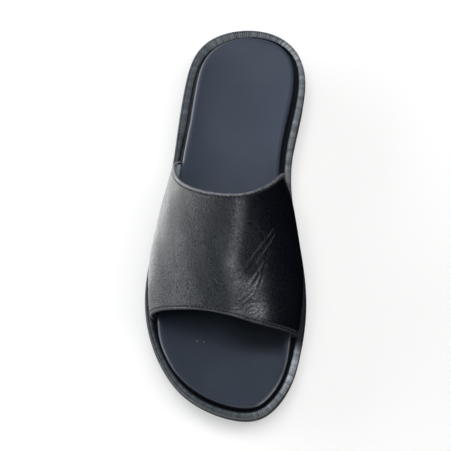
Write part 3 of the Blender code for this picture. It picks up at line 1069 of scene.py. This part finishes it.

# %% [markdown]
# Leather creases where the foot bends it. The long ones run slantwise over the big-toe side of this band,
# and a patch of short crinkles lies behind the front edge. A simulation would put creases anywhere, so each
# one is listed: three points in the band's own coordinates, a width and a depth in millimetres. A
# crease is a soft trough with a low ridge on both sides, and it fades out at its ends. A negative depth is
# a ridge.

# %% Creases
CREASES = table(
    "across_1 heel_1 across_2 heel_2 across_3 heel_3 width depth",
    # Long slanting folds over the big-toe side, as ridges and troughs in turn
    (0.345, 164.0, 0.160, 185.0, 0.025, 204.0, 0.90, -0.20),
    (0.335, 167.0, 0.187, 185.5, 0.080, 201.5, 0.80, 0.17),
    (0.345, 166.5, 0.222, 183.5, 0.115, 198.7, 0.80, -0.18),
    (0.330, 170.0, 0.245, 184.5, 0.160, 197.0, 0.80, 0.14),
    (0.213, 187.5, 0.170, 197.5, 0.078, 207.5, 0.85, -0.32),
    (0.178, 199.0, 0.143, 204.5, 0.090, 211.5, 0.70, 0.32),
    (0.190, 197.0, 0.158, 204.5, 0.138, 210.0, 0.70, -0.26),
    (0.213, 194.5, 0.185, 203.0, 0.160, 210.5, 0.70, 0.26),
    (0.228, 198.5, 0.200, 203.5, 0.172, 209.0, 0.70, -0.20),
    (0.068, 199.0, 0.018, 202.0, -0.025, 203.5, 0.80, -0.14),
    (0.088, 201.5, 0.030, 204.5, -0.020, 205.5, 0.70, 0.18),
    # Short crinkles behind the front edge
    (0.150, 209.0, 0.110, 214.8, 0.038, 220.7, 0.55, -0.30),
    (0.130, 214.0, 0.095, 218.0, 0.050, 222.0, 0.50, 0.24),
    (0.062, 223.4, 0.118, 219.6, 0.182, 218.4, 0.55, -0.30),
    (0.078, 224.6, 0.112, 222.0, 0.150, 220.6, 0.45, 0.22),
    (0.100, 222.9, 0.142, 221.6, 0.178, 222.6, 0.50, -0.22),
    (0.086, 226.4, 0.128, 224.6, 0.168, 222.4, 0.50, -0.28),
    (0.142, 226.9, 0.176, 224.6, 0.204, 220.8, 0.50, -0.24),
    (0.150, 225.6, 0.172, 223.8, 0.190, 221.4, 0.45, 0.18),
    (-0.012, 223.2, 0.015, 222.4, 0.055, 221.7, 0.50, -0.22),
    (-0.007, 225.6, 0.030, 224.8, 0.066, 224.4, 0.50, -0.20),
    (0.015, 219.5, 0.052, 216.0, 0.085, 212.0, 0.60, -0.16),
    (0.162, 216.5, 0.135, 215.0, 0.100, 215.0, 0.50, -0.22),
    (0.000, 216.5, 0.047, 218.0, 0.095, 219.5, 0.50, 0.16),
    # Fine lengthwise wrinkles on the lateral side
    (-0.640, 133.0, -0.560, 152.0, -0.520, 172.0, 0.80, 0.09),
    (-0.590, 130.0, -0.520, 146.0, -0.480, 166.0, 0.75, 0.08),
    (-0.540, 132.0, -0.470, 149.0, -0.430, 170.0, 0.80, 0.09),
    (-0.480, 138.0, -0.430, 153.0, -0.395, 168.0, 0.75, 0.08),
    (-0.660, 143.0, -0.610, 162.0, -0.570, 186.0, 0.85, 0.09),
    (-0.320, 161.5, -0.237, 168.0, -0.160, 175.0, 0.70, -0.12),
)
# Broad soft ridge along the instep
SWELLINGS = table(
    "across_1 heel_1 across_2 heel_2 across_3 heel_3 width depth",
    (0.000, 156.0, 0.020, 186.0, 0.050, 216.0, 6.50, -0.70),
)
# Slow waves of the stretched leather, about a tenth of a millimetre high
STRETCHED = table(
    "height x_step y_step z_step shift",
    (0.07, 4.1, 9.0, np.inf, 0.0),
    (0.06, np.inf, 5.3, -3.7, 0.8),
    (0.05, 2.9, 17.0, 2.9, 2.1),
)
CREASE_REACH = 4
CREASE_ENDS = (0.02, 0.98)
END_POWER = 0.7
BANK_SHARE = 0.45
BANK_PLACE = 1.9
BANK_SPREAD = 0.8
CREASE_SAMPLES = 60
crease_run = np.linspace(0, 1, CREASE_SAMPLES)


def bow(first, second, third, t):
    """A smooth bow through three values, the second one half way."""
    pull = 2 * second - (first + third) / 2
    return (1 - t)**2 * first + 2 * t * (1 - t) * pull + t * t * third


def bowed_line(across_1, heel_1, across_2, heel_2, across_3, heel_3):
    """Points of a bowed line over the band's outer face."""
    return band_point(bow(across_1, across_2, across_3, crease_run), bow(heel_1, heel_2, heel_3, crease_run))


def crease_height(points, creases):
    """Height that the creases of a table add at the points of the band's outer face."""
    height = np.zeros(len(points))
    for *places, width, depth in zip(*creases.values()):
        line = bowed_line(*places)
        reach = CREASE_REACH * width
        beside = (points > line.min(0) - reach) & (points < line.max(0) + reach)
        near = np.flatnonzero(np.all(beside, axis=1))
        gaps = np.linalg.norm(points[near, None, :] - line[None, :, :], axis=-1)
        nearest = gaps.argmin(1)
        away = gaps[np.arange(len(near)), nearest] / width
        fade = np.sin(math.pi * np.clip(crease_run[nearest], *CREASE_ENDS))**END_POWER
        trough = np.exp(-away**2) - BANK_SHARE * np.exp(-(away - BANK_PLACE)**2 / BANK_SPREAD)
        height[near] -= depth * fade * trough
    return height


print("creases and crinkles:", len(CREASES["depth"]))

# %% [markdown]
# Both edges of the band are turned hems: the leather is folded inwards and sewn down. The fold stands up as
# a small roll, and the seam beside it pulls the leather into a groove. In the mesh the roll is a low
# swelling next to the edge, the groove a narrow dip with a low bank behind it, and the fold itself half a
# circle round the thickness of the wall. Down in the channel the band is plain.

# %% Hem profile
UPPER_WALL = 2.2
LEATHER = 1.4
HEM_WIDTH = 2.0
SEAM_PLACE = 2.36
SEAM_DEPTH = 0.55
SEAM_HALF = 0.30
HEM = table(
    "place spread height",
    (1.35, 0.55, 0.22),
    (SEAM_PLACE, SEAM_HALF, -SEAM_DEPTH),
    (3.3, 0.6, 0.12),
)
CHANNEL_TOP = (0.86, 0.93)


def hem_height(away):
    """Height of roll, groove and bank at a distance from the edge."""
    return sum(height * np.exp(-((away - place) / spread)**2) for place, spread, height in zip(*HEM.values()))


def above_channel(across):
    """1 on the part of the band that shows, falling to 0 down in the channel."""
    return 1 - smooth_step(np.abs(across), *CHANNEL_TOP)


print(f"seam groove: {-hem_height(SEAM_PLACE):.2f} mm deep")

# %% [markdown]
# The leather of the band is black and semi-gloss, with a fine pebble grain of about a millimetre. Pebbles
# are cells with furrows between them, which is what a Voronoi texture measures as the distance to the
# nearest edge. Two sizes are mixed so that the grain does not look printed. Where the band is marked as
# rubbed and lit, the tops of its pebbles are painted lighter, for wear and as a painted sheen and highlights,
# and a slow cloud of roughness keeps the gloss from looking like lacquer.

# %% Upper leather
DEEP_BLACK = (0.0018, 0.0026, 0.0048)
SOFT_BLACK = (0.0030, 0.0040, 0.0066)
# Pale tone for wear and for painted sheen and highlights
RUBBED_AND_LIT_TONE = (0.194, 0.199, 0.218)
FURROW = 0.30


def upper_leather():
    material, tree, shader, place = start_material("upper_leather", Specular_IOR_Level=0.36)
    tone = add_mix(tree, add_cloud(tree, place, grains=45, detail=4.0), DEEP_BLACK, SOFT_BLACK)
    roughness = add_cloud(tree, place, grains=220, detail=4.0, least=0.26, most=0.38)
    pebbles = add_cells(tree, place, 760.0)
    tops = add_range(tree, pebbles, low=0.02, high=FURROW, least=0.25, most=1.2)
    streaks = add_cloud(tree, place, grains=480, detail=4.0, rough=0.6, low=0.32, high=0.68,
                        least=0.45, most=1.1)
    # Pale pebble tops for wear and for painted sheen and highlights
    rubbed_and_lit = add_math(tree, "MULTIPLY", read_value(tree, "rubbed_and_lit"), add_math(tree, "MULTIPLY", tops, streaks))
    colour = add_mix(tree, rubbed_and_lit, tone, RUBBED_AND_LIT_TONE)
    domes = add_range(tree, pebbles, low=0.0, high=FURROW)
    grain = add_bump(tree, domes, depth_mm=0.20, strength=0.8)
    small_domes = add_range(tree, add_cells(tree, place, 1600.0), low=0.0, high=FURROW)
    fine = add_bump(tree, small_domes, depth_mm=0.08, strength=0.6, under=grain)
    stretch = add_noise(tree, place, grains=330, detail=4.0, rough=0.6)
    connect(tree, shader, colour, roughness, add_bump(tree, stretch, depth_mm=0.50, strength=0.6, under=fine))
    return material


band_leather = upper_leather()
print("leather finish:", len(band_leather.node_tree.nodes), "nodes")

# %% [markdown]
# The band is painted lighter where it is worn and where light falls on it: the crest of the instep, the
# crinkles and the outer flank carry wear together with a painted sheen and highlights, ridges more than
# troughs, as painted light and shade. The turned edges get a painted highlight, most of all at the outer
# end of the throat, which lies in the shade of the channel, and the seam groove is painted dark as painted
# shade. A mask could be painted, but lines on the band's own coordinates stay true when the form changes.
# Each has a width, over which it fades out, and a share.

# %% Worn places and painted light
# Lines painted lighter: wear, with painted sheen and highlights on the instep crest, crinkles and flank
RUBBED_AND_LIT_LINES = table(
    "across_1 heel_1 across_2 heel_2 across_3 heel_3 width share",
    # The crest of the instep and the crinkles behind the front edge
    (0.035, 157.0, 0.024, 174.0, -0.010, 194.0, 4.0, 0.50),
    (0.000, 198.0, 0.016, 206.0, 0.030, 215.0, 5.0, 0.36),
    (0.118, 209.5, 0.155, 215.0, 0.185, 224.0, 5.5, 0.62),
    (0.015, 225.0, 0.085, 224.0, 0.185, 223.0, 4.5, 0.52),
    (0.060, 206.0, 0.110, 207.0, 0.170, 204.0, 5.0, 0.22),
    # The lateral front and flank
    (-0.330, 182.0, -0.310, 200.0, -0.300, 222.0, 11.0, 0.30),
    (-0.740, 118.0, -0.690, 165.0, -0.680, 222.0, 12.5, 0.40),
    (-0.620, 122.0, -0.540, 145.0, -0.500, 170.0, 8.0, 0.50),
)
# Painted highlight on crease ridges and painted shade in their troughs
FOLD_SHADING = 3
CONTRAST_LIMITS = (0.3, 1.8)
RIDGE_HIGHLIGHT = 1.4
RIDGE_FOOT = 0.05
RIDGE_TOP = 0.35
# Painted highlights on the turned edges, most at the outer tip of the throat, in the shade of the channel
THROAT_HIGHLIGHT = 1.20
FRONT_HIGHLIGHT = 0.16
TIP_LIGHT = 1.5
TIPS = (0.60, 0.72)
SEAM_SHADE = 0.9
HEM_TOP = (1.4, 1.8)


def near_line(points, places, width):
    """1 on a bowed line over the band, falling softly to 0 beside it."""
    gaps = np.full(len(points), np.inf)
    for spot in bowed_line(*places):
        gaps = np.minimum(gaps, np.linalg.norm(points - spot, axis=-1))
    return np.exp(-(gaps / width)**2)


def outer_wear_and_light(form, folds, free, from_throat, from_front):
    """How much the outer face of the band is painted lighter, for wear and as painted sheen and highlights,
    and how much less in crease troughs and the seam groove, as painted shade.
    """
    worn_and_lit = np.zeros(folds.shape)
    for *places, width, share in zip(*RUBBED_AND_LIT_LINES.values()):
        worn_and_lit += share * near_line(form.reshape(-1, 3), places, width).reshape(folds.shape)
    worn_and_lit *= np.clip(1 + FOLD_SHADING * free * folds, *CONTRAST_LIMITS)
    worn_and_lit += RIDGE_HIGHLIGHT * free * np.clip(folds - RIDGE_FOOT, 0, RIDGE_TOP)
    for from_edge, hem_highlight in ((from_throat, THROAT_HIGHLIGHT), (from_front, FRONT_HIGHLIGHT)):
        worn_and_lit *= 1 - SEAM_SHADE * np.exp(-((from_edge - SEAM_PLACE) / SEAM_HALF)**2)
        worn_and_lit += hem_highlight * (1 - smooth_step(from_edge, *HEM_TOP))
    return worn_and_lit


print("rubbed lines:", len(RUBBED_AND_LIT_LINES["share"]))

# %% [markdown]
# With form, relief and wear at hand, the band is put together: an outer face with all its creases, an inner
# face on fewer points, and a fold round both edges. A Solidify modifier would give the wall, but with
# square edges and as many points inside as outside. At both feet of the band, down in the channel, faces
# close the wall.

# %% Upper band
FOLD_STEPS = 7
INNER_STEPS = 24
FREE_LEATHER = (2.2, 5.5)
HEM_SLOPE = 0.6
UPPER_SHARP = 60


def hem_fold(outer, inner, end, beside, slant):
    """Half a circle round an edge of the band, from the outer to the inner face."""
    turn = np.linspace(0, math.pi, FOLD_STEPS + 2)[1:-1, None]
    middle = (outer[:, end] + inner[:, end]) / 2
    onward = unit(outer[:, end] - outer[:, beside]) * (HEM_STEPS[0] / slant)[:, None]
    upward = outer[:, end] - middle
    return middle[:, None] + np.cos(turn) * upward[:, None] + np.sin(turn) * onward[:, None]


def close_feet(rows, columns, steps, kept):
    """Faces that close the wall at both feet, where the outer face has more points than the inner one."""
    last_inner = steps + FOLD_STEPS + len(kept) - 1
    faces = []
    for first in (0, (rows - 1) * columns):
        for k, (near, far) in enumerate(zip(kept, kept[1:])):
            edge = [*range(near, far + 1), last_inner - k - 1, last_inner - k]
            faces.append([int(first + place) for place in edge])
        faces.append([first + k for k in range(steps - 1, steps + FOLD_STEPS + 1)])
        faces.append([first + k for k in (0, *range(columns - 1, last_inner - 1, -1))])
    return faces


def make_upper():
    across = across_rows(ROW_BLOCKS)
    stations, from_throat, from_front, throat_slant, front_slant = band_rows(across, HEM_STEPS, MIDDLE_STEPS)
    form = band_point(across[:, None], stations)
    normal = outward(form)
    away = np.minimum(from_throat, from_front)
    free = smooth_step(away, *FREE_LEATHER)
    flat = form.reshape(-1, 3)
    folds = crease_height(flat, CREASES).reshape(stations.shape)
    relief = folds + (crease_height(flat, SWELLINGS) + waves_over(flat, STRETCHED)).reshape(stations.shape)
    height = relief * free + hem_height(from_throat) + hem_height(from_front)
    outer = form + normal * (above_channel(across)[:, None] * height)[..., None]
    steps = stations.shape[1]
    hem = len(HEM_STEPS)
    middle = np.linspace(hem, steps - hem - 1, INNER_STEPS).astype(int)
    kept = np.concatenate([np.arange(hem), middle, np.arange(steps - hem, steps)])
    depth = LEATHER + (UPPER_WALL - LEATHER) * (1 - smooth_step(away, HEM_WIDTH - HEM_SLOPE, HEM_WIDTH))
    inner = (form - normal * depth[..., None])[:, kept]
    front_fold = hem_fold(outer, inner, -1, -2, front_slant)
    throat_fold = hem_fold(outer, inner, 0, 1, throat_slant)
    points = np.concatenate([outer, front_fold, inner[:, ::-1], throat_fold[:, ::-1]], axis=1)
    rows, columns = points.shape[:2]
    faces = grid_faces(rows, columns, wrap=True) + close_feet(rows, columns, steps, kept)
    piece = add_piece("upper_band", points, faces, band_leather, UPPER_SHARP)
    # One number at each point for wear, painted sheen, painted highlights and painted shade
    worn_and_lit = np.zeros((rows, columns))
    worn_and_lit[:, :steps] = outer_wear_and_light(form, folds, free, from_throat, from_front)
    # Painted highlight on the folds of both hems, strongest at the outer tip of the throat
    worn_and_lit[:, steps:steps + FOLD_STEPS] = FRONT_HIGHLIGHT
    worn_and_lit[:, -FOLD_STEPS:] = THROAT_HIGHLIGHT + TIP_LIGHT * smooth_step(-across, *TIPS)[:, None]
    add_values(piece, "rubbed_and_lit", worn_and_lit)
    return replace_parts(piece, "upper")


make_upper()

# %% [markdown]
# Inside, the band is lined with pale blue-grey leather that stops at the hems. It is a second, thinner wall
# that fills the rest of the thickness, made from the same form a little further in. It only needs a coarse
# grid, because nothing but its nap shows.

# %% Lining
LINING_GAP = 0.04
LINING_BLOCKS = ((-1.0, -SHOULDER, 12), (-SHOULDER, SHOULDER, 80), (SHOULDER, 1.0, 12))
LINING_EDGE = np.array([HEM_WIDTH + 0.1, HEM_WIDTH + 0.6])
LINING_STEPS = 44
LINING_SHARP = 50
LINING_TONES = ((0.260, 0.310, 0.360), (0.330, 0.385, 0.440))


def lining_leather():
    material, tree, shader, place = start_material("lining_leather", Specular_IOR_Level=0.3)
    tone = add_mix(tree, add_cloud(tree, place, grains=60, detail=4.0), *LINING_TONES)
    roughness = add_cloud(tree, place, grains=300, detail=3.0, least=0.62, most=0.78)
    nap = add_noise(tree, place, grains=1500, detail=3.0)
    connect(tree, shader, tone, roughness, add_bump(tree, nap, depth_mm=0.12, strength=0.5))
    return material


def make_lining():
    across = across_rows(LINING_BLOCKS)
    stations = band_rows(across, LINING_EDGE, LINING_STEPS)[0]
    form = band_point(across[:, None], stations)
    normal = outward(form)
    back = form - normal * (LEATHER + LINING_GAP)
    face = form - normal * UPPER_WALL
    points = np.concatenate([back, face[:, ::-1]], axis=1)
    rows, columns = points.shape[:2]
    faces = grid_faces(rows, columns, wrap=True)
    for first in (0, (rows - 1) * columns):
        last = first + columns - 1
        faces += [(first + k, first + k + 1, last - k - 1, last - k) for k in range(columns // 2 - 1)]
    return add_piece("upper_lining", points, faces, lining_leather(), LINING_SHARP)


make_lining()

# %% [markdown]
# A row of lock stitches runs in each seam groove. Each stitch is a short piece of waxed thread that comes
# up out of one hole and dives into the next. Curves with a bevel could do it, but one joined mesh of small
# bent tubes is lighter: the seam line is measured along the leather, cut into equal steps, and a tube is
# laid in every step.

# %% Stitches
STITCH_PITCH = 2.7
STITCH_LENGTH = 2.15
STITCH_RISE = 0.30
STITCH_DIVE = 1.1
DIVE_POWER = 4
THREAD_RADIUS = 0.30
THREAD_SHARP = 70
THREAD_TONES = ((0.030, 0.030, 0.032), (0.075, 0.075, 0.076))
TUBE_SIDES = 8
TUBE_RINGS = 9
SEAM_REACH = 0.90
SEAM_SAMPLES = 1401
SEAM_STEP = 0.05
BESIDE_SEAM = (1.0, 3.0)


def waxed_thread():
    material, tree, shader, place = start_material("waxed_thread", Specular_IOR_Level=0.5)
    tone = add_mix(tree, add_noise(tree, place, grains=900), *THREAD_TONES)
    roughness = add_cloud(tree, place, grains=700, least=0.40, most=0.6)
    lay = {"bands_direction": "DIAGONAL"}
    twist = add_node(tree, "ShaderNodeTexWave", lay, Vector=place, Scale=900.0, Distortion=2.0)
    connect(tree, shader, tone, roughness, add_bump(tree, twist.outputs["Fac"], depth_mm=0.08, strength=0.6))
    return material


def seam_path(line, inward):
    """Points along a seam, with the outward direction of the leather at each."""
    across = np.linspace(-SEAM_REACH, SEAM_REACH, SEAM_SAMPLES)
    edge = line(across)
    aside = band_point(across, edge + inward * SEAM_STEP) - band_point(across, edge)
    pace = np.linalg.norm(aside, axis=-1) / SEAM_STEP
    path = band_point(across, edge + inward * SEAM_PLACE / edge_slant(line, across) / pace)
    near, far = [band_point(across, edge + inward * step) for step in BESIDE_SEAM]
    normal = unit(np.cross(far - near, np.gradient(path, axis=0)))
    return path, normal * np.sign(normal[len(normal) // 2, 2])


def along_run(at, run, values):
    return np.stack([np.interp(at, run, values[:, k]) for k in range(3)], -1)


def lay_stitches(path, normal):
    run = run_along(path)
    reach = np.linspace(-0.5, 0.5, TUBE_RINGS)
    turn = np.linspace(0, FULL_TURN, TUBE_SIDES, endpoint=False)[None, :, None]
    dive = STITCH_RISE - SEAM_DEPTH - STITCH_DIVE * np.abs(2 * reach)**DIVE_POWER
    tubes = []
    for middle in np.arange(STITCH_PITCH / 2, run[-1] - STITCH_PITCH / 2, STITCH_PITCH):
        at = middle + reach * STITCH_LENGTH
        centre = along_run(at, run, path)
        up = unit(along_run(at, run, normal))
        side = np.cross(unit(np.gradient(centre, axis=0)), up)
        ring = np.cos(turn) * side[:, None, :] + np.sin(turn) * up[:, None, :]
        tubes.append((centre + up * dive[:, None])[:, None, :] + THREAD_RADIUS * ring)
    return tubes


def make_stitches():
    tubes = []
    for line, inward in ((throat_line, 1.0), (front_line, -1.0)):
        tubes += lay_stitches(*seam_path(line, inward))
    faces = []
    size = TUBE_RINGS * TUBE_SIDES
    for first in range(0, len(tubes) * size, size):
        faces += grid_faces(TUBE_RINGS, TUBE_SIDES, wrap=True, first=first)
        faces.append(list(range(first, first + TUBE_SIDES)))
        faces.append(list(range(first + size - TUBE_SIDES, first + size)))
    print(f"stitches: {len(tubes)}")
    return add_piece("upper_stitches", np.array(tubes), faces, waxed_thread(), THREAD_SHARP)


make_stitches()

# %% [markdown]
# The slipper stands on a white table that glows a little, as light tables do, which keeps the shadow under
# the toe soft. Beside it, on the big-toe side, a bent black card rises from the table. Photographers use
# one to keep light off a glossy side, and this one is seen in reflections only. Both belong to the stage
# and not to the slipper.

# %% Table and card
TABLE_GLOW = 0.42
TABLE_HALF = 3.0
TABLE_TONES = ((0.495, 0.493, 0.488), (0.510, 0.508, 0.503))
CARD_TONES = ((0.001, 0.001, 0.001), (0.002, 0.002, 0.002))
CARD_BENDS = ((0.045, 0.0006), (0.085, 0.0006), (0.42, 0.42))
CARD_ENDS = (-0.16, 0.45)


def add_sheet(name, corners, faces, finish, grains, tones, **values):
    """A flat or folded sheet of the stage, with a faint cloud of tone on it."""
    material, tree, shader, place = start_material(finish, **values)
    tree.links.new(add_mix(tree, add_noise(tree, place, grains), *tones), shader.inputs["Base Color"])
    data = bpy.data.meshes.new(name)
    data.from_pydata(corners, [], faces)
    data.materials.append(material)
    return put_in_scene(name, data)


def add_floor():
    corners = [(x * TABLE_HALF, y * TABLE_HALF, 0) for x, y in ((-1, -1), (1, -1), (1, 1), (-1, 1))]
    floor = add_sheet("floor", corners, [(0, 1, 2, 3)], "white_table", 3.0, TABLE_TONES,
                      Roughness=0.85, Specular_IOR_Level=0.2, Emission_Strength=TABLE_GLOW)
    return floor


def add_card():
    corners = [(x, y, z) for x, z in CARD_BENDS for y in CARD_ENDS]
    faces = [(k, k + 1, k + 3, k + 2) for k in range(0, len(corners) - 2, 2)]
    card = add_sheet("black_card", corners, faces, "black_card", 5.0, CARD_TONES,
                     Roughness=0.9, Specular_IOR_Level=0.0)
    card.visible_camera = False
    card.visible_diffuse = False
    card.visible_shadow = False
    return card


print("stage:", add_floor().name, "and", add_card().name)

# %% [markdown]
# A black shoe shows mostly what it mirrors, so its light is built from softboxes, as in a studio: a long
# one low on the left, like a window, and one under the ceiling. The others only light, or are only
# mirrored, so that the table, the footbed and the gloss of the leather can each be set alone. One panel
# lies on the table at the left, and is mirrored by the outer flank. The pale room is seen by the camera
# alone.

# %% Lights
MIDDLE = (0.0, 0.0, 0.04)
NEUTRAL = (1.0, 1.0, 1.0)
COOL = (0.82, 0.92, 1.0)
DAYLIGHT = (0.94, 0.975, 1.0)
PALE_ROOM = (0.95, 0.97, 1.0, 1.0)
ROOM_STRENGTH = 0.95


def add_softbox(name, place, aim, size, radiance, colour, lights=True, mirrored=True):
    """A softbox. It can light without being mirrored, or be mirrored without lighting."""
    data = bpy.data.lights.new(name, "AREA")
    data.shape = "RECTANGLE"
    data.size, data.size_y = size
    data.energy = radiance * math.pi * size[0] * size[1]
    data.color = colour
    box = put_in_scene(name, data)
    box.location = place
    box.rotation_euler = (Vector(aim) - Vector(place)).to_track_quat("-Z", "Y").to_euler()
    box.visible_camera = False
    box.visible_glossy = mirrored
    box.visible_diffuse = lights


def add_room():
    world = bpy.data.worlds.new("pale_room")
    world.use_nodes = True
    background = world.node_tree.nodes["Background"]
    background.inputs["Color"].default_value = PALE_ROOM
    background.inputs["Strength"].default_value = ROOM_STRENGTH
    world.cycles_visibility.diffuse = False
    world.cycles_visibility.glossy = False
    bpy.context.scene.world = world


add_softbox("window_softbox", (-1.43, 0.31, 0.36), MIDDLE, (2.2, 0.6), 7.8, DAYLIGHT)
add_softbox("ceiling_softbox", (-0.40, 0.38, 1.50), (-0.40, 0.38, 0.0), (0.6, 0.6), 2.5, NEUTRAL)
add_softbox("overhead_light", (0.05, 0.05, 1.60), (0.05, 0.05, 0.0), (1.0, 1.0), 5.8, NEUTRAL, mirrored=False)
add_softbox("right_light", (0.85, 0.10, 1.25), MIDDLE, (0.8, 0.8), 4.0, NEUTRAL, mirrored=False)
add_softbox("front_reflection", (0.0, -1.24, 0.87), MIDDLE, (1.0, 0.6), 7.4, COOL, lights=False)
add_softbox("side_reflection", (-1.20, -0.90, 0.36), MIDDLE, (1.2, 0.6), 3.6, COOL, lights=False)
add_softbox("front_light", (0.0, -1.24, 0.87), MIDDLE, (1.0, 0.6), 0.5, NEUTRAL, mirrored=False)
add_softbox("back_reflection", (0.0, 0.85, 1.30), MIDDLE, (1.0, 0.6), 1.0, COOL, lights=False)
add_softbox("table_reflection", (-0.195, 0.020, 0.002), (-0.195, 0.020, 1.0), (0.25, 0.14), 2.3, NEUTRAL,
            lights=False)
add_room()
bpy.context.scene.view_settings.view_transform = "Standard"
